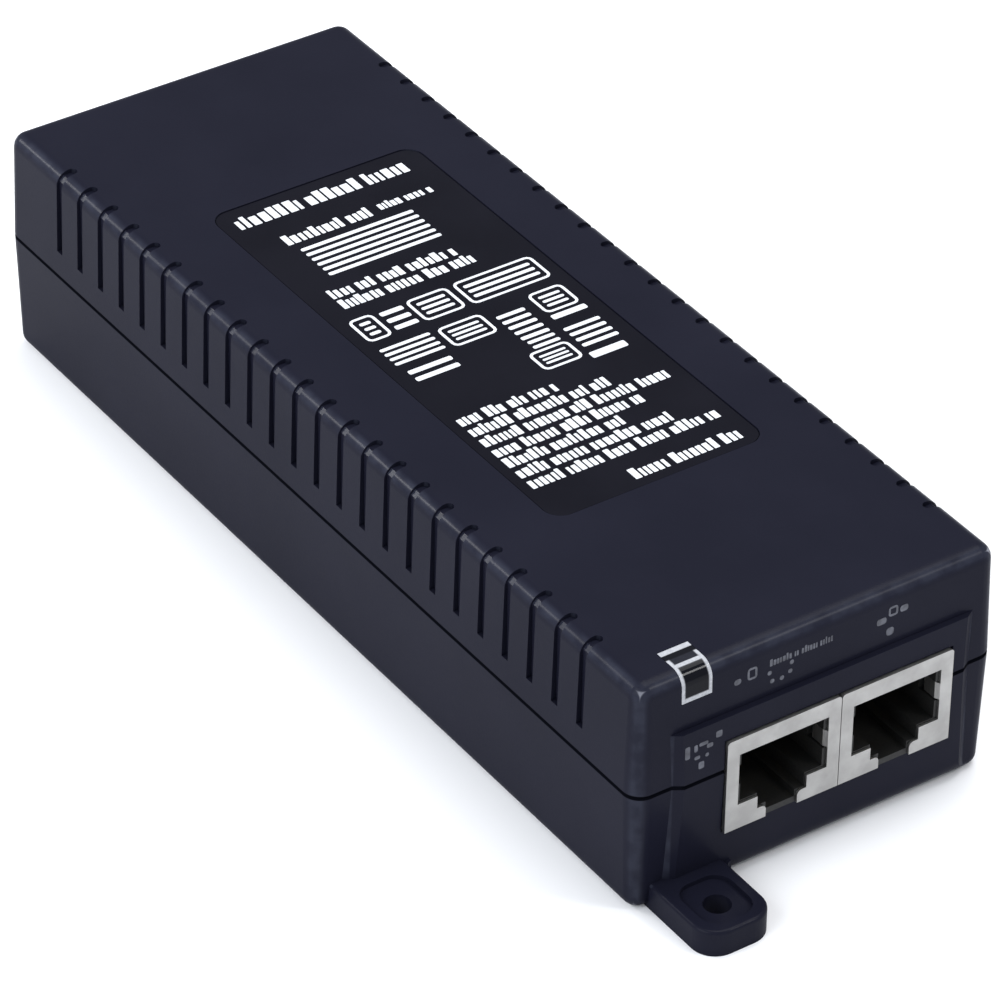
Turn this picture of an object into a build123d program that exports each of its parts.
"""Single-port power-over-ethernet injector.

Frame: +X points out of the end with the two network sockets, +Z is up, and the
origin is at the bottom centre. All sizes are in millimetres.
"""
from build123d import *
import math
import os

PAST = 1.0                   # how far a cutter runs beyond the face it opens
FIT_GAP = 0.1                # between pieces that plug into each other

# ---- case ----------------------------------------------------------------
CASE_BACK = -72.3            # outer face of the mains end, at the parting line
CASE_FRONT = 71.9            # corner pillars of the socket end, at the parting line
CASE_WIDTH = 53.0
CASE_HEIGHT = 33.0
PARTING_Z = 17.3
CORNER_RADIUS = 2.4          # vertical corners
EDGE_RADIUS = 2.0            # top edges
FOOT_RADIUS = 1.6            # bottom edges
PARTING_BEVEL = 0.25         # small bevels that make the fine groove between the halves
UPPER_DRAFT = 1.6            # degrees, each half narrows away from the parting line
LOWER_DRAFT = 1.7
WALL = 2.2                   # at the parting line
FLOOR = 2.0
INNER_RADIUS = 0.8
LIP_HEIGHT = 1.4             # tongue of the lower half inside the upper half
LIP_THICKNESS = 0.9

# ---- raised panel round the sockets ----------------------------------------
PANEL_PROUD = 0.8
PANEL_TOP = 25.0
PANEL_LEFT = -21.2
PANEL_RIGHT = 22.3
PANEL_SLOPE = 1.6            # sideways run of each slanted side, per unit of height
PANEL_ROOT = 1.5             # how deep the panel's solid is sunk into the end wall
PANEL_FOOT_RADIUS = 3.0      # the panel curves back into the case at the bottom

# ---- mounting ears ---------------------------------------------------------
EAR_REACH = 83.5             # outer end, from the middle of the case
EAR_WIDTH = 10.1
EAR_OFFSET = 18.65           # centre line of an ear, from the middle of the case
EAR_THICKNESS = 3.6
EAR_FLOOR = 3.0              # plate left under the screw seat
EAR_RADIUS = 3.3
EAR_RIM = 1.5
EAR_EDGE = 0.5               # rounding of the upper edge
EAR_ROOT = 1.0               # fillet between an ear and the end wall
EAR_OVERLAP = 2.0            # length of the plate inside the end wall
EAR_SEAT_START = 73.9
EAR_SEAT_RADIUS = 2.4
EAR_HOLE_RADIUS = 1.75
EAR_HOLE_X = 78.2

# ---- grooves, label and light window ---------------------------------------
GROOVE_COUNT = 24
GROOVE_PITCH = 5.18
GROOVE_FIRST_X = -58.8
GROOVE_WIDTH = 1.3
GROOVE_BOTTOM_Z = 21.1
GROOVE_DEPTH = 0.85
GROOVE_BEVEL = 0.6           # slope where a groove's floor turns over into its notch
NOTCH_REACH = 3.1            # how far a groove's notch runs into the top face
NOTCH_DEPTH = 0.6
LABEL_BACK = -40.0
LABEL_FRONT = 38.5
LABEL_LEFT = -15.1
LABEL_RIGHT = 16.4
LABEL_RADIUS = 2.5
LABEL_RECESS = 0.35
LABEL_THICKNESS = 0.25
LABEL_GAP = 0.15
WINDOW_BACK = 66.4
WINDOW_LEFT = -20.0
WINDOW_RIGHT = -15.6
WINDOW_BOTTOM = 28.8
WINDOW_GAP = 0.05
GUIDE_BACK = 66.9            # leg of the light guide
GUIDE_FRONT = 69.1
GUIDE_HALF_WIDTH = 1.6
GUIDE_LIFT = 2.4             # free space over the board for the lights

# ---- screws and their posts --------------------------------------------------
CASE_SCREWS = [(-66.0, -21.3), (-66.0, 21.3), (47.0, -21.3), (47.0, 21.3)]
BOSS_RADIUS = 3.3            # reaches into the side wall, so each post is one with it
BOSS_SPLIT = 0.05            # gap between an upper and a lower post
PILOT_RADIUS = 1.2
PILOT_DEPTH = 10.0
SCREW_CLEARANCE = 1.6
SCREW_TIP = 9.0              # a case screw's reach above the parting line
SCREW_SEAT = 3.2             # height of the shoulder under a case screw's head
SCREW_SEAT_RADIUS = 2.9
SCREW_HEAD_RADIUS = 2.7
SCREW_HEAD_BOTTOM = 1.3
SLOT_HALF_WIDTH = 0.3
SLOT_DEPTH = 0.7
BOARD_SCREWS = [(-58.0, -17.5), (-58.0, 17.5), (37.0, -20.0), (28.5, 20.6)]
BOARD_POST_RADIUS = 2.8
BOARD_SCREW_RADIUS = 1.1
BOARD_SCREW_HEAD_RADIUS = 2.5
BOARD_SCREW_HEAD_HEIGHT = 1.8
BOARD_SCREW_HOLE = 1.6

# ---- circuit board -----------------------------------------------------------
BOARD_TOP = 8.0
BOARD_THICKNESS = 1.6
BOARD_BOTTOM = BOARD_TOP - BOARD_THICKNESS
BOARD_BACK = -69.5
BOARD_FRONT = 69.0
BOARD_HALF_WIDTH = 23.3
BOARD_CORNER = 1.0
LEAD_BOTTOM = BOARD_BOTTOM - 1.2        # leads stand out a little under the board
LEAD_CLEARANCE = 0.3
ISOLATION_SLOT = (2.2, 4.4, 12.6, 19.0)  # x and y limits, between mains and output side
INSULATOR_THICKNESS = 0.4
INSULATOR_BACK = -52.0
INSULATOR_FRONT = 24.0
INSULATOR_HALF_WIDTH = 21.0

# ---- network sockets ----------------------------------------------------------
JACK_FRONT = 73.0
JACK_DEPTH = 21.0
JACK_BACK = JACK_FRONT - JACK_DEPTH
JACK_WIDTH = 16.55
JACK_HEIGHT = 13.5
JACK_PITCH = 16.65
JACK_MIDDLE = 2.55           # centre of the pair, across the case
JACK_SHEET = 0.3             # shield sheet metal
JACK_SLIP = 0.05             # between the shield and the plastic body
JACKS = {
    "data_in_jack": JACK_MIDDLE - JACK_PITCH / 2,
    "power_out_jack": JACK_MIDDLE + JACK_PITCH / 2,
}
PLUG_WIDTH = 13.0            # opening in the shield
PLUG_BOTTOM = 3.6            # opening's lower and upper edges, above the board
PLUG_TOP = 11.1
STEP_WIDTH = 7.2
STEP_BOTTOM = 1.8
LATCH_WIDTH = 4.6
LATCH_CORNER = 0.7           # rounding of the sheet's ends beside the latch gap
CAVITY_DEPTH = 14.0
TONGUE_LOW = 6.6             # side spring tongues, above the board
TONGUE_HIGH = 9.0
TONGUE_DEPTH = 2.6
TONGUE_LEAN = 0.35           # how far a tongue leans into the opening
TONGUE_RAMP = 0.6            # depth over which it leans in
SHIELD_LEG_BACK = JACK_BACK + 6.0
SHIELD_LEG_LENGTH = 1.2
CONTACT_COUNT = 8
CONTACT_PITCH = 1.02
CONTACT_WIDTH = 0.46
CONTACT_THICKNESS = 0.3
CONTACT_TIP_X = JACK_FRONT - 3.4
CONTACT_BEND_X = JACK_FRONT - 11.5
CONTACT_LEG_X = JACK_FRONT - 18.6
CONTACT_TIP_Z = BOARD_TOP + PLUG_TOP - 0.9
CONTACT_REST_Z = BOARD_TOP + 7.4
LIGHT_X = 68.0
LIGHT_SPACING = 1.9
LIGHT_BASE = (1.6, 1.5, 0.9)   # length, width, height
LIGHT_LENS = (1.2, 1.1, 0.9)

# ---- mains inlet ----------------------------------------------------------------
INLET_FRONT = -73.0
INLET_DEPTH = 22.0
INLET_WIDTH = 28.0
INLET_HEIGHT = 20.6
INLET_MIDDLE = BOARD_TOP + INLET_HEIGHT / 2
SOCKET_WIDTH = 24.4
SOCKET_HEIGHT = 16.8
SOCKET_CHAMFER = 5.0
SOCKET_CORNER = 1.2
SOCKET_DEPTH = 17.0
BLADE_SPACING = 7.0
BLADE_RISE = 2.0             # earth blade above, line and neutral below the middle
BLADE_THICKNESS = 2.0
BLADE_HEIGHT = 4.0
BLADE_SETBACK = 2.0
BLADE_BEVEL = 0.6
BLADE_TAIL_X = INLET_FRONT + INLET_DEPTH + 1.2
BLADE_TAIL_HALF = 0.5
BLADES = [                   # centres, across the case and up
    (0.0, INLET_MIDDLE + BLADE_RISE),
    (-BLADE_SPACING, INLET_MIDDLE - BLADE_RISE),
    (BLADE_SPACING, INLET_MIDDLE - BLADE_RISE),
]

# ---- mains side of the board ---------------------------------------------------------
FUSE_X = -34.0
FUSE_Y = -18.6
FUSE_Z = BOARD_TOP + 4.6
FUSE_HALF_GLASS = 5.4
FUSE_HALF_LENGTH = 10.0
FUSE_RADIUS = 2.4
FUSE_BORE = 1.9
FUSE_WIRE = 0.15
CAP_RADIUS = 2.6
CLIP_RADIUS = 3.1
CLIP_OFFSET = 7.9
CLIP_HALF_LENGTH = 1.8
CLIP_FOOT = 1.6

X_CAPACITOR_BACK = -49.0
X_CAPACITOR_FRONT = -42.2
X_CAPACITOR_HALF_WIDTH = 8.8
X_CAPACITOR_HEIGHT = 14.0
X_CAPACITOR_LEADS = 7.5

CHOKE_X = -31.0
CHOKE_Y = 3.5
CHOKE_Z = BOARD_TOP + 7.5
CHOKE_OUTER = 8.6
CHOKE_INNER = 4.6
CHOKE_HALF_HEIGHT = 4.0
CHOKE_WIRE = 0.9
CHOKE_WIRE_GAP = 0.03
CHOKE_TURNS = 8
CHOKE_TURN_ANGLE = 18.5
CHOKE_BASE_HEIGHT = 2.2

BRIDGE_BACK = -22.6
BRIDGE_FRONT = -18.9
BRIDGE_LEFT = -19.8
BRIDGE_RIGHT = -5.2
BRIDGE_LEG_PITCH = 3.8

DISC_LIFT = 1.2              # clearance under a disc part

# ---- switching side ----------------------------------------------------------------------
SINK_PLATE = 1.8
SINK_DEPTH = 3.4             # plate and fins
SINK_TOP = BOARD_TOP + 21.0
SINK_FOOT = BOARD_TOP + 0.2
FIN_HALF = 0.5
PRIMARY_SINK = (-20.0, 1.0, 7)          # ends and number of fins
SECONDARY_SINK = (7.0, 31.0, 8)
PRIMARY_SINK_FACE = 19.6
SECONDARY_SINK_FACE = -19.6
TRANSISTOR_X = -10.0
DIODE_X = 23.0
PACKAGE_LIFT = 4.0
PACKAGE_HALF_WIDTH = 5.0
PACKAGE_BODY_HEIGHT = 9.0
PACKAGE_TAB_HEIGHT = 15.4
PACKAGE_TAB = 1.3
PACKAGE_BODY = 4.5
PACKAGE_HOLE_RISE = 12.3
PACKAGE_HOLE = 1.9
PACKAGE_LEG_PITCH = 2.54
PACKAGE_LEG_DEPTH = 2.7
SINK_SCREW_Z = BOARD_TOP + PACKAGE_LIFT + PACKAGE_HOLE_RISE
SINK_SCREW_RADIUS = 1.25
SINK_SCREW_HEAD_RADIUS = 2.6
SINK_SCREW_HEAD = 1.7

CORE_X = 13.4
CORE_Y = -2.0
CORE_BOTTOM = BOARD_TOP + 1.6
CORE_TOP = BOARD_TOP + 21.4
CORE_SPLIT = (CORE_BOTTOM + CORE_TOP) / 2
CORE_SPLIT_GAP = 0.02
CORE_HALF_LENGTH = 13.0
CORE_HALF_DEPTH = 3.6
CORE_YOKE = 3.2
CORE_LEG = 3.1
CORE_CENTRE_RADIUS = 3.4
BOBBIN_LOW = CORE_BOTTOM + 3.3
BOBBIN_HIGH = CORE_TOP - 3.3
BOBBIN_BORE = 3.5
BOBBIN_RADIUS = 4.4
BOBBIN_FLANGE = 1.0
BOBBIN_FLANGE_RADIUS = 9.4
BOBBIN_FOOT = (3.8, 9.0, 8.0)           # inner edge, outer edge, half width
WINDING_RADIUS = 8.2
WINDING_BAND_RADIUS = 8.7
WINDING_BAND = 1.6

# ---- output and control side --------------------------------------------------------------
INDUCTOR_X = 31.2
INDUCTOR_Y = 12.2
INDUCTOR_BOTTOM = BOARD_TOP + 0.1
INDUCTOR_HEIGHT = 12.0
INDUCTOR_FLANGE = 1.8
INDUCTOR_FLANGE_RADIUS = 4.8
INDUCTOR_CENTRE_RADIUS = 2.4
INDUCTOR_TURNS = 8
INDUCTOR_COIL_HEIGHT = 8.3
INDUCTOR_COIL_RADIUS = 3.9

CHIP_LIFT = 0.15
CHIP_LEG_HALF = 0.2
CHIP_LEG_SHEET = 0.2
CHIP_KNEE = 0.5              # how far the legs stand out before they bend down
CHIP_TOE = 1.1

CAN_LIFT = 0.2
CAN_BEAD_RISE = 2.2
CAN_VENT_WIDTH = 0.3
CAN_VENT_SHARE = 0.62        # length of the vent marks, as a share of the radius


# ---- simple forms ----------------------------------------------------------------
def block(x_1, x_2, y_1, y_2, z_1, z_2):
    """Box between two opposite corners, given in either order."""
    centre = Pos((x_1 + x_2) / 2, (y_1 + y_2) / 2, (z_1 + z_2) / 2)
    return centre * Box(abs(x_2 - x_1), abs(y_2 - y_1), abs(z_2 - z_1))


def post(x, y, z_low, z_high, radius):
    """Upright cylinder."""
    return Pos(x, y, (z_low + z_high) / 2) * Cylinder(radius, z_high - z_low)


def bar_x(x_low, x_high, y, z, radius):
    """Cylinder along X."""
    return Pos((x_low + x_high) / 2, y, z) * Rot(0, 90, 0) * Cylinder(radius, x_high - x_low)


def bar_y(x, y_1, y_2, z, radius):
    """Cylinder along Y."""
    return Pos(x, (y_1 + y_2) / 2, z) * Rot(90, 0, 0) * Cylinder(radius, abs(y_2 - y_1))


def through(x, y, radius):
    """Cutter for an upright hole right through the board."""
    return post(x, y, BOARD_BOTTOM - PAST, BOARD_TOP + PAST, radius)


# ---- case ------------------------------------------------------------------------
def case_half(upper, shift=0.0, foot_radius=FOOT_RADIUS):
    """Outer form of one half: drafted from the parting line, outer edges rounded."""
    middle = (CASE_BACK + CASE_FRONT) / 2 + shift
    outline = RectangleRounded(CASE_FRONT - CASE_BACK, CASE_WIDTH, CORNER_RADIUS)
    base = Plane.XY.offset(PARTING_Z) * Pos(middle, 0) * outline
    if upper:
        solid = extrude(base, CASE_HEIGHT - PARTING_Z, dir=(0, 0, 1), taper=UPPER_DRAFT)
        rim, seam, radius = -1, 0, EDGE_RADIUS
    else:
        solid = extrude(base, PARTING_Z, dir=(0, 0, -1), taper=LOWER_DRAFT)
        rim, seam, radius = 0, -1, foot_radius
    solid = fillet(solid.edges().group_by(Axis.Z)[rim], radius)
    return chamfer(solid.edges().group_by(Axis.Z)[seam], PARTING_BEVEL)


def panel_prism():
    """Upright prism with slanted sides that bounds the raised panel."""
    outward = 3.0
    inward = 4.0
    points = [
        (CASE_FRONT + outward, PANEL_LEFT + PANEL_SLOPE * outward),
        (CASE_FRONT + outward, PANEL_RIGHT - PANEL_SLOPE * outward),
        (CASE_FRONT - inward, PANEL_RIGHT + PANEL_SLOPE * inward),
        (CASE_FRONT - inward, PANEL_LEFT - PANEL_SLOPE * inward),
    ]
    face = make_face(Polyline(*points, close=True))
    limit = block(CASE_FRONT - PANEL_ROOT, CASE_FRONT + outward, -CASE_WIDTH, CASE_WIDTH,
                  -PAST, PANEL_TOP)
    return extrude(face, PANEL_TOP, dir=(0, 0, 1)) & limit


def panel(upper):
    """The part of the raised panel that belongs to one half."""
    return case_half(upper, PANEL_PROUD, PANEL_FOOT_RADIUS) & panel_prism()


def inner_block(z_low, z_high, thickness):
    """Rounded block that lies a wall's thickness inside the parting outline."""
    length = CASE_FRONT - CASE_BACK - 2 * thickness
    width = CASE_WIDTH - 2 * thickness
    radius = max(CORNER_RADIUS - thickness, INNER_RADIUS)
    outline = Pos((CASE_BACK + CASE_FRONT) / 2, 0) * RectangleRounded(length, width, radius)
    return extrude(Plane.XY.offset(z_low) * outline, z_high - z_low)


def jack_opening():
    """Opening in the socket end for the pair of jacks."""
    gap = 1.5 * FIT_GAP
    half = JACK_PITCH / 2 + JACK_WIDTH / 2 + gap
    return block(CASE_FRONT - 2 * WALL, JACK_FRONT + PAST, JACK_MIDDLE - half,
                 JACK_MIDDLE + half, BOARD_TOP - gap, BOARD_TOP + JACK_HEIGHT + gap)


def inlet_opening():
    """Opening in the mains end for the inlet body."""
    gap = 1.5 * FIT_GAP
    half = INLET_WIDTH / 2 + gap
    return block(INLET_FRONT - PAST, CASE_BACK + 2 * WALL, -half, half,
                 BOARD_TOP - gap, BOARD_TOP + INLET_HEIGHT + gap)


def window_opening(gap=0.0):
    """Wrap-over opening for the status window; a gap shrinks it for the clear piece."""
    return block(WINDOW_BACK + gap, CASE_FRONT + PAST, WINDOW_LEFT + gap, WINDOW_RIGHT - gap,
                 WINDOW_BOTTOM + gap, CASE_HEIGHT + PAST)


def groove_cutters():
    """Grooves up both long sides, each turning over a slope into a notch in the top face."""
    cutters = []
    half = GROOVE_WIDTH / 2
    top = CASE_HEIGHT + PAST
    outside = CASE_WIDTH / 2 + PAST
    floor_y = CASE_WIDTH / 2 - GROOVE_DEPTH
    floor_z = CASE_HEIGHT - NOTCH_DEPTH
    round_y = CASE_WIDTH / 2 - NOTCH_REACH + half
    profile = [(outside, GROOVE_BOTTOM_Z), (floor_y, GROOVE_BOTTOM_Z),
               (floor_y, floor_z - GROOVE_BEVEL), (floor_y - GROOVE_BEVEL, floor_z),
               (round_y, floor_z), (round_y, top), (outside, top)]
    for side in (-1, 1):
        outline = Polyline(*[(side * y, z) for y, z in profile], close=True)
        channel = extrude(Plane.YZ * make_face(outline), half, both=True)
        for index in range(GROOVE_COUNT):
            x = GROOVE_FIRST_X + index * GROOVE_PITCH
            cutters.append(Pos(x, 0, 0) * channel)
            cutters.append(post(x, side * round_y, floor_z, top, half))
    return cutters


def label_block(z_low, z_high, gap=0.0):
    """Rounded rectangle of the label, smaller by a gap on every side."""
    middle = Pos((LABEL_BACK + LABEL_FRONT) / 2, (LABEL_LEFT + LABEL_RIGHT) / 2)
    outline = RectangleRounded(LABEL_FRONT - LABEL_BACK - 2 * gap,
                               LABEL_RIGHT - LABEL_LEFT - 2 * gap, LABEL_RADIUS - gap)
    return extrude(Plane.XY.offset(z_low) * middle * outline, z_high - z_low)


def make_upper_shell():
    """Upper half: walls, roof, grooves, label recess, window opening, screw posts."""
    shell = case_half(True) + panel(True)
    shell -= inner_block(PARTING_Z - PAST, CASE_HEIGHT - FLOOR, WALL)
    shell -= inner_block(PARTING_Z - PAST, PARTING_Z + LIP_HEIGHT + FIT_GAP,
                         WALL - LIP_THICKNESS - FIT_GAP)
    for x, y in CASE_SCREWS:
        shell += post(x, y, PARTING_Z + BOSS_SPLIT, CASE_HEIGHT - FLOOR / 2, BOSS_RADIUS)
        shell -= post(x, y, PARTING_Z - PAST, PARTING_Z + PILOT_DEPTH, PILOT_RADIUS)
    cutters = groove_cutters()
    cutters.append(label_block(CASE_HEIGHT - LABEL_RECESS, CASE_HEIGHT + PAST))
    cutters.append(window_opening())
    cutters.append(jack_opening())
    cutters.append(inlet_opening())
    return shell - cutters


def ear(end):
    """Mounting ear: a plate with a shallow screw seat and a clearance hole."""
    wall_x = CASE_FRONT - EAR_OVERLAP
    plate = Pos((wall_x + EAR_REACH) / 2, 0) * RectangleRounded(EAR_REACH - wall_x, EAR_WIDTH,
                                                               EAR_RADIUS)
    root = Pos(wall_x + EAR_RADIUS / 2, 0) * Rectangle(EAR_RADIUS, EAR_WIDTH)
    solid = extrude(plate + root, EAR_THICKNESS, dir=(0, 0, 1))
    rim = solid.edges().group_by(Axis.Z)[-1].filter_by(lambda e: e.center().X > wall_x + PAST)
    solid = fillet(rim, EAR_EDGE)
    root_x = CASE_FRONT + PANEL_PROUD + EAR_ROOT
    web = Pos((wall_x + root_x) / 2, EAR_WIDTH / 2) * Rectangle(root_x - wall_x, 2 * EAR_ROOT)
    web -= Pos(root_x, EAR_WIDTH / 2 + EAR_ROOT) * Circle(EAR_ROOT)
    solid += extrude(web, EAR_THICKNESS - EAR_EDGE, dir=(0, 0, 1))
    seat_length = EAR_REACH - EAR_RIM - EAR_SEAT_START
    seat = RectangleRounded(seat_length, EAR_WIDTH - 2 * EAR_RIM, EAR_SEAT_RADIUS)
    seat = Pos(EAR_SEAT_START + seat_length / 2, 0, EAR_FLOOR) * seat
    solid -= extrude(seat, EAR_THICKNESS, dir=(0, 0, 1))
    solid -= post(EAR_HOLE_X, 0, -PAST, EAR_THICKNESS + PAST, EAR_HOLE_RADIUS)
    turn = Rot(0, 0, 0 if end > 0 else 180)
    return Pos(0, -end * EAR_OFFSET, 0) * turn * solid


def make_lower_shell():
    """Lower half: floor, walls, tongue, board posts, screw posts and the two ears."""
    shell = case_half(False) + panel(False)
    shell -= inner_block(FLOOR, PARTING_Z + PAST, WALL)
    lip_top = PARTING_Z + LIP_HEIGHT
    lip = inner_block(PARTING_Z - PAST, lip_top, WALL - LIP_THICKNESS)
    lip -= inner_block(PARTING_Z - 2 * PAST, lip_top + PAST, WALL)
    shell += lip
    for x, y in CASE_SCREWS:
        shell += post(x, y, FLOOR / 2, PARTING_Z, BOSS_RADIUS)
    for x, y in BOARD_SCREWS:
        shell += post(x, y, FLOOR / 2, BOARD_BOTTOM, BOARD_POST_RADIUS)
    shell += ear(1)
    shell += ear(-1)
    cutters = [jack_opening(), inlet_opening()]
    for x, y in CASE_SCREWS:
        cutters.append(post(x, y, -PAST, PARTING_Z + PAST, SCREW_CLEARANCE))
        cutters.append(post(x, y, -PAST, SCREW_SEAT, SCREW_SEAT_RADIUS))
        cutters.append(post(x, y, PARTING_Z, lip_top + PAST, BOSS_RADIUS + FIT_GAP))
    for x, y in BOARD_SCREWS:
        cutters.append(post(x, y, FLOOR, BOARD_BOTTOM + PAST, BOARD_SCREW_RADIUS))
    return shell - cutters


def make_case_screws():
    """Four pan-head screws, driven up from the bottom."""
    screws = []
    reach = SCREW_HEAD_RADIUS * 2 / 3
    for x, y in CASE_SCREWS:
        screw = post(x, y, SCREW_HEAD_BOTTOM, SCREW_SEAT, SCREW_HEAD_RADIUS)
        screw += post(x, y, SCREW_SEAT, PARTING_Z + SCREW_TIP, PILOT_RADIUS)
        screws.append(screw - block(x - reach, x + reach, y - SLOT_HALF_WIDTH,
                                    y + SLOT_HALF_WIDTH, SCREW_HEAD_BOTTOM - PAST,
                                    SCREW_HEAD_BOTTOM + SLOT_DEPTH))
    return screws


def make_board_screws():
    """Four cross-slotted screws that hold the board on its posts."""
    screws = []
    top = BOARD_TOP + BOARD_SCREW_HEAD_HEIGHT
    reach = BOARD_SCREW_HEAD_RADIUS * 0.6
    for x, y in BOARD_SCREWS:
        head = post(x, y, BOARD_TOP, top, BOARD_SCREW_HEAD_RADIUS)
        head = fillet(head.edges().group_by(Axis.Z)[-1], BOARD_SCREW_HEAD_HEIGHT / 3)
        screw = head + post(x, y, FLOOR + 0.5, BOARD_TOP + 0.1, BOARD_SCREW_RADIUS)
        for along, across in ((reach, SLOT_HALF_WIDTH), (SLOT_HALF_WIDTH, reach)):
            screw -= block(x - along, x + along, y - across, y + across, top - SLOT_DEPTH,
                           top + PAST)
        screws.append(screw)
    return screws


def make_top_label():
    """Thin label that lies in the recess, just below the roof's surface."""
    base = CASE_HEIGHT - LABEL_RECESS
    return label_block(base, base + LABEL_THICKNESS, LABEL_GAP)


def window_middle():
    """Centre of the status window, across the case."""
    return (WINDOW_LEFT + WINDOW_RIGHT) / 2


def make_light_pipe():
    """Clear window flush with the case, with a leg down to the status lights."""
    outer = case_half(True) & window_opening(WINDOW_GAP)
    leg = block(GUIDE_BACK, GUIDE_FRONT, window_middle() - GUIDE_HALF_WIDTH,
                window_middle() + GUIDE_HALF_WIDTH, BOARD_TOP + GUIDE_LIFT, WINDOW_BOTTOM + PAST)
    return outer + leg


def make_status_leds():
    """Two surface-mounted status lights side by side under the light guide."""
    lights = []
    base_top = BOARD_TOP + LIGHT_BASE[2]
    for side in (-1, 1):
        y = window_middle() + side * LIGHT_SPACING / 2
        body = block(LIGHT_X - LIGHT_BASE[0] / 2, LIGHT_X + LIGHT_BASE[0] / 2,
                     y - LIGHT_BASE[1] / 2, y + LIGHT_BASE[1] / 2, BOARD_TOP, base_top)
        lens = block(LIGHT_X - LIGHT_LENS[0] / 2, LIGHT_X + LIGHT_LENS[0] / 2,
                     y - LIGHT_LENS[1] / 2, y + LIGHT_LENS[1] / 2, base_top,
                     base_top + LIGHT_LENS[2])
        lights.append(body + fillet(lens.edges().group_by(Axis.Z)[-1], 0.25))
    return lights


# ---- network sockets ---------------------------------------------------------------
def plug_profile(y, x_low, x_high, shrink=0.0):
    """Stepped opening for a plug with its latch at the bottom."""
    half = PLUG_WIDTH / 2 - shrink
    half_step = STEP_WIDTH / 2 - shrink / 4
    bottom = BOARD_TOP + PLUG_BOTTOM + shrink / 2
    main = block(x_low, x_high, y - half, y + half, bottom, BOARD_TOP + PLUG_TOP - shrink / 2)
    step = block(x_low, x_high, y - half_step, y + half_step,
                 BOARD_TOP + STEP_BOTTOM + shrink / 4, bottom + PAST)
    return main + step


def make_jack_shield(y):
    """Folded sheet-metal shield with a stepped front opening and spring tongues."""
    half = JACK_WIDTH / 2
    top = BOARD_TOP + JACK_HEIGHT
    shield = block(JACK_BACK, JACK_FRONT, y - half, y + half, BOARD_TOP, top)
    shield = fillet(shield.edges().filter_by(Axis.X).group_by(Axis.Z)[-1], 0.5)
    shield -= block(JACK_BACK + JACK_SHEET, JACK_FRONT - JACK_SHEET, y - half + JACK_SHEET,
                    y + half - JACK_SHEET, BOARD_TOP - PAST, top - JACK_SHEET)
    x_low = JACK_FRONT - PAST
    x_high = JACK_FRONT + PAST
    shield -= plug_profile(y, x_low, x_high)
    shield -= block(x_low, x_high, y - LATCH_WIDTH / 2, y + LATCH_WIDTH / 2, BOARD_TOP - PAST,
                    BOARD_TOP + STEP_BOTTOM + PAST / 2)
    ends = shield.edges().filter_by(Axis.X).filter_by(
        lambda e: abs(abs(e.center().Y - y) - LATCH_WIDTH / 2) < 0.01
        and abs(e.center().Z - BOARD_TOP - STEP_BOTTOM) < 0.01)
    shield = fillet(ends, LATCH_CORNER)
    z_low = BOARD_TOP + TONGUE_LOW
    z_high = BOARD_TOP + TONGUE_HIGH
    for side in (-1, 1):
        edge = y + side * PLUG_WIDTH / 2
        tip = edge - side * TONGUE_LEAN
        outline = Polyline((JACK_FRONT, edge), (JACK_FRONT - TONGUE_RAMP, tip),
                           (JACK_FRONT - TONGUE_DEPTH, tip),
                           (JACK_FRONT - TONGUE_DEPTH, tip + side * JACK_SHEET),
                           (JACK_FRONT, edge + side * JACK_SHEET), close=True)
        shield += extrude(Plane.XY.offset(z_low) * make_face(outline), z_high - z_low,
                          dir=(0, 0, 1))
        outside = y + side * half
        shield += block(SHIELD_LEG_BACK, SHIELD_LEG_BACK + SHIELD_LEG_LENGTH, outside,
                        outside - side * JACK_SHEET, LEAD_BOTTOM, BOARD_TOP + PAST / 2)
    return shield


def contact_rows(y):
    """Places of the eight contacts of one jack, across the case."""
    first = y - (CONTACT_COUNT - 1) / 2 * CONTACT_PITCH
    return [first + index * CONTACT_PITCH for index in range(CONTACT_COUNT)]


def make_jack_contacts(y):
    """Eight spring contacts: a slanted beam in the cavity, then back and down a leg."""
    line = Polyline((CONTACT_TIP_X, CONTACT_TIP_Z), (CONTACT_BEND_X, CONTACT_REST_Z),
                    (CONTACT_LEG_X, CONTACT_REST_Z), (CONTACT_LEG_X, LEAD_BOTTOM))
    profile = trace(line, line_width=CONTACT_THICKNESS)
    contacts = []
    for row in contact_rows(y):
        face = Plane.XZ.offset(-(row - CONTACT_WIDTH / 2)) * profile
        contacts.append(extrude(face, CONTACT_WIDTH, dir=(0, 1, 0)))
    return contacts


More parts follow.
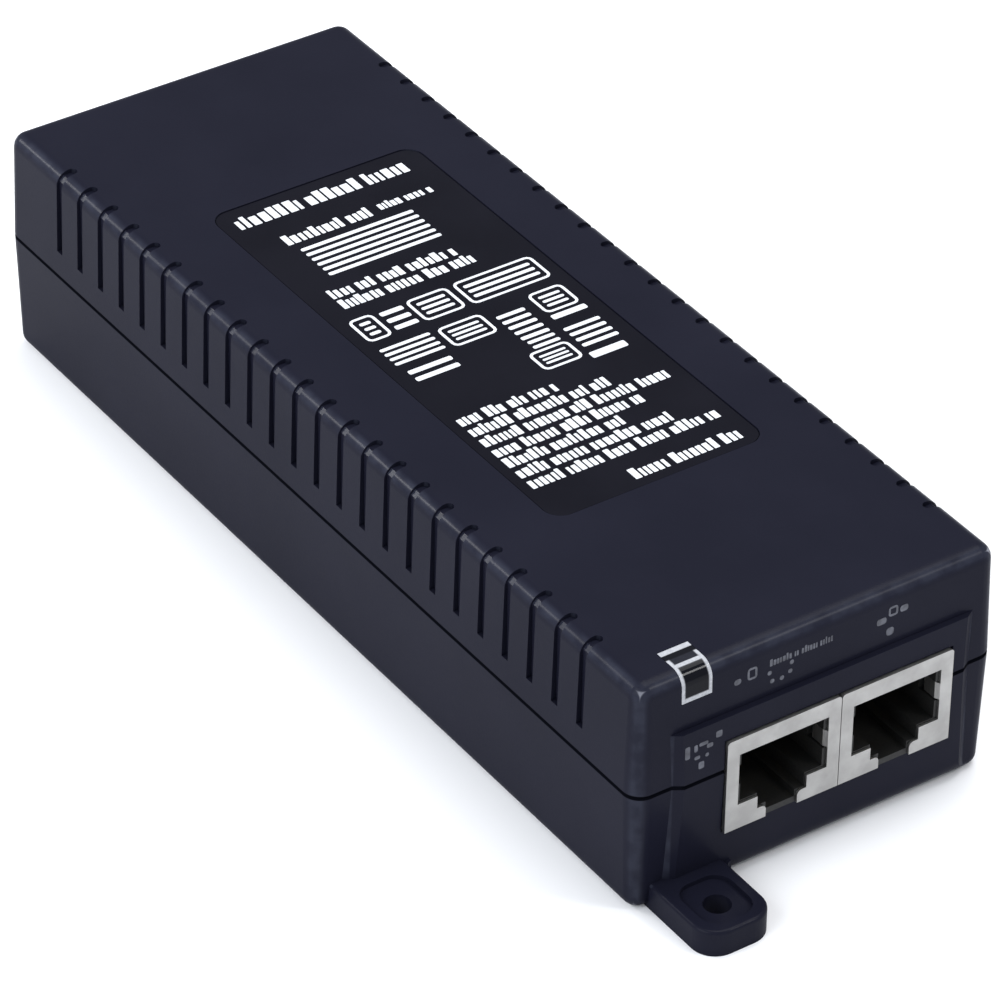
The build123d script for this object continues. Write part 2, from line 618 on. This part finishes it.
def make_jack_housing(y):
    """Plastic body with the plug cavity, latch channel and contact slots."""
    half = JACK_WIDTH / 2 - JACK_SHEET - JACK_SLIP
    body = block(JACK_BACK + JACK_SHEET + JACK_SLIP, JACK_FRONT - JACK_SHEET - JACK_SLIP,
                 y - half, y + half, BOARD_TOP + JACK_SLIP,
                 BOARD_TOP + JACK_HEIGHT - JACK_SHEET - JACK_SLIP)
    cavity_end = JACK_FRONT - CAVITY_DEPTH
    body -= plug_profile(y, cavity_end, JACK_FRONT + PAST, 0.5)
    half_latch = LATCH_WIDTH / 2 - 0.2
    body -= block(cavity_end + 3, JACK_FRONT + PAST, y - half_latch, y + half_latch,
                  BOARD_TOP + 0.9, BOARD_TOP + STEP_BOTTOM + PAST)
    for side in (-1, 1):
        edge = y + side * PLUG_WIDTH / 2
        body -= block(JACK_FRONT - TONGUE_DEPTH - 0.8, JACK_FRONT, edge + side * 0.3,
                      edge - side, BOARD_TOP + TONGUE_LOW - 0.2, BOARD_TOP + TONGUE_HIGH + 0.2)
    cutters = []
    slot_top = CONTACT_REST_Z + CONTACT_THICKNESS
    for row in contact_rows(y):
        low = row - CONTACT_WIDTH / 2 - JACK_SLIP
        high = row + CONTACT_WIDTH / 2 + JACK_SLIP
        cutters.append(block(CONTACT_LEG_X - 0.4, cavity_end + PAST, low, high,
                             CONTACT_REST_Z - CONTACT_THICKNESS, slot_top))
        cutters.append(block(CONTACT_LEG_X - 0.3, CONTACT_LEG_X + 0.3, low, high,
                             BOARD_TOP - PAST, slot_top))
    return body - cutters


# ---- mains inlet -------------------------------------------------------------------
def make_inlet_housing():
    """Plastic inlet body with a six-sided socket that opens out of the mains end."""
    body = block(INLET_FRONT, INLET_FRONT + INLET_DEPTH, -INLET_WIDTH / 2, INLET_WIDTH / 2,
                 BOARD_TOP, BOARD_TOP + INLET_HEIGHT)
    body = chamfer(body.edges().group_by(Axis.X)[0], 0.4)
    half_width = SOCKET_WIDTH / 2
    half_height = SOCKET_HEIGHT / 2
    points = [
        (-half_width, -half_height),
        (half_width, -half_height),
        (half_width, half_height - SOCKET_CHAMFER),
        (half_width - SOCKET_CHAMFER, half_height),
        (-half_width + SOCKET_CHAMFER, half_height),
        (-half_width, half_height - SOCKET_CHAMFER),
    ]
    face = make_face(Polyline(*points, close=True))
    face = fillet(face.vertices(), SOCKET_CORNER)
    mouth = Plane(origin=(INLET_FRONT - PAST, 0, INLET_MIDDLE), x_dir=(0, 1, 0),
                  z_dir=(1, 0, 0))
    body -= extrude(mouth * face, SOCKET_DEPTH + PAST)
    slots = []
    for y, z in BLADES:
        slots.append(block(INLET_FRONT + SOCKET_DEPTH - PAST, INLET_FRONT + INLET_DEPTH + PAST,
                           y - BLADE_THICKNESS / 2, y + BLADE_THICKNESS / 2,
                           z - BLADE_HEIGHT / 2, z + BLADE_HEIGHT / 2))
    return body - slots


def make_inlet_blades():
    """Three flat blades with bevelled tips and tails that run down through the board."""
    blades = []
    for y, z in BLADES:
        blade = block(INLET_FRONT + BLADE_SETBACK, BLADE_TAIL_X + BLADE_TAIL_HALF,
                      y - BLADE_THICKNESS / 2, y + BLADE_THICKNESS / 2,
                      z - BLADE_HEIGHT / 2, z + BLADE_HEIGHT / 2)
        blade = chamfer(blade.edges().group_by(Axis.X)[0], BLADE_BEVEL)
        blade += block(BLADE_TAIL_X - BLADE_TAIL_HALF, BLADE_TAIL_X + BLADE_TAIL_HALF,
                       y - BLADE_TAIL_HALF, y + BLADE_TAIL_HALF, LEAD_BOTTOM, z)
        blades.append(blade)
    return blades


# ---- circuit board -------------------------------------------------------------------
def lead_holes():
    """Holes for every lead that goes through the board."""
    holes = []
    contact_radius = CONTACT_WIDTH / 2 + LEAD_CLEARANCE / 2 + 0.04
    leg_radius = SHIELD_LEG_LENGTH / 2 + LEAD_CLEARANCE - 0.05
    for y in JACKS.values():
        for row in contact_rows(y):
            holes.append(through(CONTACT_LEG_X, row, contact_radius))
        for side in (-1, 1):
            holes.append(through(SHIELD_LEG_BACK + SHIELD_LEG_LENGTH / 2,
                                 y + side * JACK_WIDTH / 2, leg_radius))
    for y, _ in BLADES:
        holes.append(through(BLADE_TAIL_X, y, BLADE_TAIL_HALF + LEAD_CLEARANCE + 0.1))
    return holes


def make_circuit_board():
    """Board with notches for the screw posts and holes for screws and leads."""
    board = block(BOARD_BACK, BOARD_FRONT, -BOARD_HALF_WIDTH, BOARD_HALF_WIDTH,
                  BOARD_BOTTOM, BOARD_TOP)
    board = fillet(board.edges().filter_by(Axis.Z), BOARD_CORNER)
    low = BOARD_BOTTOM - PAST
    high = BOARD_TOP + PAST
    notch = BOSS_RADIUS + 0.5
    cutters = lead_holes()
    for x, y in CASE_SCREWS:
        cutters.append(through(x, y, notch))
        cutters.append(block(x - notch, x + notch, y, y + math.copysign(WALL + notch, y),
                             low, high))
    for x, y in BOARD_SCREWS:
        cutters.append(through(x, y, BOARD_SCREW_HOLE))
    cutters.append(block(*ISOLATION_SLOT, low, high))
    return board - cutters


def make_insulator_sheet():
    """Thin sheet on the floor under the mains side of the board."""
    sheet = block(INSULATOR_BACK, INSULATOR_FRONT, -INSULATOR_HALF_WIDTH, INSULATOR_HALF_WIDTH,
                  FLOOR, FLOOR + INSULATOR_THICKNESS)
    return fillet(sheet.edges().filter_by(Axis.Z), 2)


# ---- mains side ------------------------------------------------------------------------
def standing_disc(x, y, radius, thickness, along_y):
    """Round-edged disc part on two wire leads, such as a capacitor or varistor."""
    z = BOARD_TOP + DISC_LIFT + radius
    spread = radius * 0.6
    turn = Rot(90, 0, 0) if along_y else Rot(0, 90, 0)
    disc = Cylinder(radius, thickness)
    disc = Pos(x, y, z) * turn * fillet(disc.edges(), thickness * 0.35)
    for side in (-1, 1):
        lead_x = x + side * spread if along_y else x
        lead_y = y if along_y else y + side * spread
        disc += post(lead_x, lead_y, BOARD_TOP, z - spread, 0.35)
    return disc


def make_fuse_glass():
    """Glass tube of the fuse."""
    tube = bar_x(FUSE_X - FUSE_HALF_GLASS, FUSE_X + FUSE_HALF_GLASS, FUSE_Y, FUSE_Z, FUSE_RADIUS)
    return tube - bar_x(FUSE_X - FUSE_HALF_GLASS - PAST, FUSE_X + FUSE_HALF_GLASS + PAST,
                        FUSE_Y, FUSE_Z, FUSE_BORE)


def make_fuse_caps():
    """End caps of the fuse and the wire between them."""
    caps = bar_x(FUSE_X - FUSE_HALF_LENGTH, FUSE_X - FUSE_HALF_GLASS, FUSE_Y, FUSE_Z, CAP_RADIUS)
    caps += bar_x(FUSE_X + FUSE_HALF_GLASS, FUSE_X + FUSE_HALF_LENGTH, FUSE_Y, FUSE_Z, CAP_RADIUS)
    return caps + bar_x(FUSE_X - FUSE_HALF_GLASS - 0.5, FUSE_X + FUSE_HALF_GLASS + 0.5,
                        FUSE_Y, FUSE_Z, FUSE_WIRE)


def make_fuse_clips():
    """Two spring clips that grip the fuse's caps."""
    clips = []
    inner = CAP_RADIUS + 0.02
    mouth = CAP_RADIUS - 0.7
    for side in (-1, 1):
        low = FUSE_X + side * CLIP_OFFSET - CLIP_HALF_LENGTH
        high = FUSE_X + side * CLIP_OFFSET + CLIP_HALF_LENGTH
        grip = bar_x(low, high, FUSE_Y, FUSE_Z, CLIP_RADIUS)
        grip -= bar_x(low - PAST, high + PAST, FUSE_Y, FUSE_Z, inner)
        grip -= block(low - PAST, high + PAST, FUSE_Y - mouth, FUSE_Y + mouth, FUSE_Z,
                      FUSE_Z + CLIP_RADIUS + PAST)
        foot = block(low, high, FUSE_Y - CLIP_FOOT, FUSE_Y + CLIP_FOOT, BOARD_TOP,
                     FUSE_Z - inner)
        clips.append(grip + foot)
    return clips


def make_x_capacitor():
    """Moulded box capacitor across the mains."""
    body = block(X_CAPACITOR_BACK, X_CAPACITOR_FRONT, -X_CAPACITOR_HALF_WIDTH,
                 X_CAPACITOR_HALF_WIDTH, BOARD_TOP + 0.3, BOARD_TOP + X_CAPACITOR_HEIGHT)
    body = fillet(body.edges().filter_by(Axis.Z) + body.edges().group_by(Axis.Z)[-1], 0.8)
    for side in (-1, 1):
        body += post((X_CAPACITOR_BACK + X_CAPACITOR_FRONT) / 2, side * X_CAPACITOR_LEADS,
                     BOARD_TOP, BOARD_TOP + PAST, 0.4)
    return body


def make_choke_core():
    """Ferrite ring of the common mode choke."""
    low = CHOKE_Z - CHOKE_HALF_HEIGHT
    high = CHOKE_Z + CHOKE_HALF_HEIGHT
    ring = post(CHOKE_X, CHOKE_Y, low, high, CHOKE_OUTER)
    ring -= post(CHOKE_X, CHOKE_Y, low - PAST, high + PAST, CHOKE_INNER)
    return fillet(ring.edges(), 0.5)


def make_choke_base():
    """Plastic base that carries the choke, with a low rib across its middle."""
    half = CHOKE_OUTER
    top = BOARD_TOP + CHOKE_BASE_HEIGHT
    base = block(CHOKE_X - half, CHOKE_X + half, CHOKE_Y - half, CHOKE_Y + half, BOARD_TOP, top)
    base = fillet(base.edges().filter_by(Axis.Z), 2)
    return base + block(CHOKE_X - half + 0.6, CHOKE_X + half - 0.6, CHOKE_Y - 0.6,
                        CHOKE_Y + 0.6, top - 0.2, top + 0.4)


def make_choke_winding(side):
    """One winding: square turns spread round one half of the ring."""
    radial = (CHOKE_OUTER - CHOKE_INNER) / 2 + CHOKE_WIRE_GAP
    upright = CHOKE_HALF_HEIGHT + CHOKE_WIRE_GAP
    middle_radius = (CHOKE_OUTER + CHOKE_INNER) / 2
    outer = Rectangle(2 * (radial + CHOKE_WIRE), 2 * (upright + CHOKE_WIRE))
    outer = fillet(outer.vertices(), CHOKE_WIRE)
    turn = extrude(Plane.XZ * (outer - Rectangle(2 * radial, 2 * upright)), CHOKE_WIRE / 2,
                   both=True)
    turns = []
    for index in range(CHOKE_TURNS):
        angle = side * 90 + (index - (CHOKE_TURNS - 1) / 2) * CHOKE_TURN_ANGLE
        place = Pos(CHOKE_X, CHOKE_Y, CHOKE_Z) * Rot(0, 0, angle) * Pos(middle_radius, 0, 0)
        turns.append(place * turn)
    return turns


def make_bridge_rectifier():
    """Flat upright rectifier with a clipped corner and four legs."""
    bottom = BOARD_TOP + 2.2
    body = block(BRIDGE_BACK, BRIDGE_FRONT, BRIDGE_LEFT, BRIDGE_RIGHT, bottom, bottom + 10.6)
    corner = body.edges().filter_by(Axis.X).group_by(Axis.Z)[-1].sort_by(Axis.Y)[0]
    body = chamfer(corner, 2.0)
    leg_x = (BRIDGE_BACK + BRIDGE_FRONT) / 2
    for index in range(4):
        y = (BRIDGE_LEFT + BRIDGE_RIGHT) / 2 + (index - 1.5) * BRIDGE_LEG_PITCH
        body += block(leg_x - 0.35, leg_x + 0.35, y - 0.5, y + 0.5, BOARD_TOP, bottom + 0.8)
    return body


def standing_can(x, y, radius, height):
    """Electrolytic capacitor: beaded can with a vented top on a rubber seat."""
    base = BOARD_TOP + CAN_LIFT
    top = base + height
    can = post(x, y, base, top, radius)
    can = fillet(can.edges(), 0.6)
    can -= Pos(x, y, base + CAN_BEAD_RISE) * Torus(radius + 0.25, 0.55)
    mark = Box(2 * radius * CAN_VENT_SHARE, CAN_VENT_WIDTH, 0.4)
    for turn in (0, 60, 120):
        can -= Pos(x, y, top) * Rot(0, 0, turn) * mark
    return can


# ---- switching side ----------------------------------------------------------------------
def finned_plate(limits, side, y_face, screw_x):
    """Upright aluminium plate whose fins point at the case's side wall."""
    x_low, x_high, fins = limits
    y_plate = y_face + side * SINK_PLATE
    sink = block(x_low, x_high, y_face, y_plate, SINK_FOOT, SINK_TOP)
    pitch = (x_high - x_low - 2 * FIN_HALF) / (fins - 1)
    for index in range(fins):
        x = x_low + FIN_HALF + index * pitch
        sink += block(x - FIN_HALF, x + FIN_HALF, y_plate - side * 0.2,
                      y_face + side * SINK_DEPTH, SINK_FOOT, SINK_TOP)
    return sink - bar_y(screw_x, y_face - side * PAST, y_face + side * (SINK_DEPTH + PAST),
                        SINK_SCREW_Z, SINK_SCREW_RADIUS + 0.05)


def power_package(x, side, y_face):
    """Three-legged power part, its metal tab against a heat sink face."""
    z = BOARD_TOP + PACKAGE_LIFT
    part = block(x - PACKAGE_HALF_WIDTH, x + PACKAGE_HALF_WIDTH, y_face,
                 y_face - side * PACKAGE_TAB, z, z + PACKAGE_TAB_HEIGHT)
    part += block(x - PACKAGE_HALF_WIDTH, x + PACKAGE_HALF_WIDTH, y_face,
                  y_face - side * PACKAGE_BODY, z, z + PACKAGE_BODY_HEIGHT)
    part -= bar_y(x, y_face - PACKAGE_BODY - PAST, y_face + PACKAGE_BODY + PAST,
                  z + PACKAGE_HOLE_RISE, PACKAGE_HOLE)
    y_leg = y_face - side * PACKAGE_LEG_DEPTH
    for index in (-1, 0, 1):
        leg_x = x + index * PACKAGE_LEG_PITCH
        part += block(leg_x - 0.4, leg_x + 0.4, y_leg - 0.25, y_leg + 0.25, BOARD_TOP, z + 0.5)
    return part


def make_heat_sink_screws():
    """One slotted screw through each power part's tab."""
    screws = []
    places = ((TRANSISTOR_X, 1, PRIMARY_SINK_FACE), (DIODE_X, -1, SECONDARY_SINK_FACE))
    reach = SINK_SCREW_HEAD_RADIUS * 0.6
    for x, side, face in places:
        seat = face - side * PACKAGE_TAB
        head_top = seat - side * SINK_SCREW_HEAD
        screw = bar_y(x, seat, head_top, SINK_SCREW_Z, SINK_SCREW_HEAD_RADIUS)
        screw += bar_y(x, seat, face + side * SINK_PLATE, SINK_SCREW_Z, SINK_SCREW_RADIUS)
        screws.append(screw - block(x - reach, x + reach, head_top - side * PAST,
                                    head_top + side * SLOT_DEPTH,
                                    SINK_SCREW_Z - SLOT_HALF_WIDTH,
                                    SINK_SCREW_Z + SLOT_HALF_WIDTH))
    return screws


def make_transformer_core(upper):
    """One ferrite half: a yoke with two outer legs and a round centre leg."""
    if upper:
        yoke = (CORE_TOP - CORE_YOKE, CORE_TOP)
        legs = (CORE_SPLIT + CORE_SPLIT_GAP, CORE_TOP - CORE_YOKE)
    else:
        yoke = (CORE_BOTTOM, CORE_BOTTOM + CORE_YOKE)
        legs = (CORE_BOTTOM + CORE_YOKE, CORE_SPLIT - CORE_SPLIT_GAP)
    core = block(CORE_X - CORE_HALF_DEPTH, CORE_X + CORE_HALF_DEPTH, CORE_Y - CORE_HALF_LENGTH,
                 CORE_Y + CORE_HALF_LENGTH, *yoke)
    for side in (-1, 1):
        outside = CORE_Y + side * CORE_HALF_LENGTH
        core += block(CORE_X - CORE_HALF_DEPTH, CORE_X + CORE_HALF_DEPTH, outside,
                      outside - side * CORE_LEG, *legs)
    return core + post(CORE_X, CORE_Y, legs[0], legs[1], CORE_CENTRE_RADIUS)


def make_transformer_bobbin():
    """Spool round the centre leg, with flanges and a foot along each side."""
    spool = post(CORE_X, CORE_Y, BOBBIN_LOW, BOBBIN_HIGH, BOBBIN_RADIUS)
    spool += post(CORE_X, CORE_Y, BOBBIN_LOW, BOBBIN_LOW + BOBBIN_FLANGE, BOBBIN_FLANGE_RADIUS)
    spool += post(CORE_X, CORE_Y, BOBBIN_HIGH - BOBBIN_FLANGE, BOBBIN_HIGH,
                  BOBBIN_FLANGE_RADIUS)
    near, far, half_width = BOBBIN_FOOT
    for side in (-1, 1):
        spool += block(CORE_X + side * near, CORE_X + side * far, CORE_Y - half_width,
                       CORE_Y + half_width, BOARD_TOP, BOBBIN_LOW + BOBBIN_FLANGE / 2)
    spool -= post(CORE_X, CORE_Y, BOARD_TOP - PAST, BOBBIN_HIGH + PAST, BOBBIN_BORE)
    leg_inside = CORE_HALF_LENGTH - CORE_LEG - 0.25
    for side in (-1, 1):
        spool -= block(CORE_X - 12, CORE_X + 12, CORE_Y + side * leg_inside,
                       CORE_Y + side * CORE_HALF_LENGTH, BOARD_TOP - PAST, BOBBIN_HIGH + PAST)
    return spool


def make_transformer_winding():
    """Taped winding between the bobbin's flanges, wider in a band at each end."""
    low = BOBBIN_LOW + BOBBIN_FLANGE + 0.05
    high = BOBBIN_HIGH - BOBBIN_FLANGE - 0.05
    coil = post(CORE_X, CORE_Y, low, high, WINDING_RADIUS)
    for z in (low, high - WINDING_BAND):
        coil += post(CORE_X, CORE_Y, z, z + WINDING_BAND, WINDING_BAND_RADIUS)
    return coil - post(CORE_X, CORE_Y, low - PAST, high + PAST, BOBBIN_RADIUS + 0.05)


# ---- output and control side --------------------------------------------------------------
def chip_package(x, y, length, width, height, legs_each_side):
    """Moulded chip with bent legs along its two long sides."""
    body = block(x - length / 2, x + length / 2, y - width / 2, y + width / 2,
                 BOARD_TOP + CHIP_LIFT, BOARD_TOP + height)
    body = chamfer(body.edges().group_by(Axis.Z)[-1], 0.15)
    pitch = (length - 1.0) / (legs_each_side - 1)
    shoulder = BOARD_TOP + height * 0.45
    for side in (-1, 1):
        knee = y + side * (width / 2 + CHIP_KNEE)
        for index in range(legs_each_side):
            leg_x = x - length / 2 + 0.5 + index * pitch
            low = leg_x - CHIP_LEG_HALF
            high = leg_x + CHIP_LEG_HALF
            body += block(low, high, y + side * (width / 2 - 0.3), knee, shoulder,
                          shoulder + CHIP_LEG_SHEET)
            body += block(low, high, knee, knee - side * CHIP_LEG_SHEET, BOARD_TOP,
                          shoulder + CHIP_LEG_SHEET)
            body += block(low, high, knee - side * CHIP_LEG_SHEET / 2,
                          y + side * (width / 2 + CHIP_TOE), BOARD_TOP,
                          BOARD_TOP + CHIP_LEG_SHEET)
    return body


def make_inductor_core():
    """Drum core of the output inductor."""
    low = INDUCTOR_BOTTOM
    high = INDUCTOR_BOTTOM + INDUCTOR_HEIGHT
    drum = post(INDUCTOR_X, INDUCTOR_Y, low, high, INDUCTOR_CENTRE_RADIUS)
    drum += post(INDUCTOR_X, INDUCTOR_Y, low, low + INDUCTOR_FLANGE, INDUCTOR_FLANGE_RADIUS)
    return drum + post(INDUCTOR_X, INDUCTOR_Y, high - INDUCTOR_FLANGE, high,
                       INDUCTOR_FLANGE_RADIUS)


def make_inductor_winding():
    """Stack of close round turns on the drum."""
    pitch = INDUCTOR_COIL_HEIGHT / INDUCTOR_TURNS
    low = INDUCTOR_BOTTOM + INDUCTOR_FLANGE + 0.05
    coil = post(INDUCTOR_X, INDUCTOR_Y, low, low + INDUCTOR_COIL_HEIGHT, INDUCTOR_COIL_RADIUS)
    for index in range(INDUCTOR_TURNS):
        z = low + (index + 0.5) * pitch
        coil += Pos(INDUCTOR_X, INDUCTOR_Y, z) * Torus(INDUCTOR_COIL_RADIUS, pitch * 0.46)
    return coil - post(INDUCTOR_X, INDUCTOR_Y, low - PAST, low + INDUCTOR_COIL_HEIGHT + PAST,
                       INDUCTOR_CENTRE_RADIUS + 0.05)


# ---- everything --------------------------------------------------------------------------
def make_all():
    """Every piece by its node name."""
    parts = {
        "upper_shell": make_upper_shell(),
        "lower_shell": make_lower_shell(),
        "case_screws": make_case_screws(),
        "top_label": make_top_label(),
        "light_pipe": make_light_pipe(),
        "status_leds": make_status_leds(),
        "ac_inlet_housing": make_inlet_housing(),
        "ac_inlet_blades": make_inlet_blades(),
        "circuit_board": make_circuit_board(),
        "board_screws": make_board_screws(),
        "insulator_sheet": make_insulator_sheet(),
        "fuse_glass": make_fuse_glass(),
        "fuse_caps": make_fuse_caps(),
        "fuse_clips": make_fuse_clips(),
        "inrush_thermistor": standing_disc(-53.5, -18.6, 4.0, 4.0, False),
        "varistor": standing_disc(-52.0, 18.4, 4.4, 3.6, False),
        "x_capacitor": make_x_capacitor(),
        "y_capacitor_1": standing_disc(-37.5, 19.8, 3.6, 3.4, True),
        "y_capacitor_2": standing_disc(-28.0, 19.8, 3.6, 3.4, True),
        "choke_core": make_choke_core(),
        "choke_base": make_choke_base(),
        "choke_winding_1": make_choke_winding(1),
        "choke_winding_2": make_choke_winding(-1),
        "bridge_rectifier": make_bridge_rectifier(),
        "bulk_capacitor": standing_can(-8.2, -11.5, 9.0, 21.5),
        "primary_heat_sink": finned_plate(PRIMARY_SINK, 1, PRIMARY_SINK_FACE, TRANSISTOR_X),
        "switching_transistor": power_package(TRANSISTOR_X, 1, PRIMARY_SINK_FACE),
        "secondary_heat_sink": finned_plate(SECONDARY_SINK, -1, SECONDARY_SINK_FACE, DIODE_X),
        "output_diode": power_package(DIODE_X, -1, SECONDARY_SINK_FACE),
        "heat_sink_screws": make_heat_sink_screws(),
        "transformer_core_lower": make_transformer_core(False),
        "transformer_core_upper": make_transformer_core(True),
        "transformer_bobbin": make_transformer_bobbin(),
        "transformer_winding": make_transformer_winding(),
        "pwm_controller": chip_package(-10.0, 6.5, 5.0, 4.0, 1.6, 4),
        "optocoupler_1": chip_package(10.0, 17.6, 4.6, 6.4, 3.6, 2),
        "optocoupler_2": chip_package(17.5, 17.6, 4.6, 6.4, 3.6, 2),
        "output_capacitor_1": standing_can(31.2, -10.2, 5.0, 20.0),
        "output_capacitor_2": standing_can(31.2, 1.0, 5.0, 20.0),
        "inductor_core": make_inductor_core(),
        "inductor_winding": make_inductor_winding(),
        "poe_controller": chip_package(40.6, 19.6, 6.0, 4.4, 1.4, 8),
        "lan_transformer_1": chip_package(44.2, -7.6, 12.0, 12.6, 5.8, 12),
        "lan_transformer_2": chip_package(44.2, 8.2, 12.0, 12.6, 5.8, 12),
    }
    for name, y in JACKS.items():
        parts[f"{name}_shield"] = make_jack_shield(y)
        parts[f"{name}_housing"] = make_jack_housing(y)
        parts[f"{name}_contacts"] = make_jack_contacts(y)
    return parts


def write_part(node, shape):
    """Write one piece, or a group of like pieces, to its own file."""
    if isinstance(shape, list):
        shape = Compound(children=shape)
    export_step(shape, f"parts/{node}.step")


os.makedirs("parts", exist_ok=True)
for node_name, node_shape in make_all().items():
    write_part(node_name, node_shape)
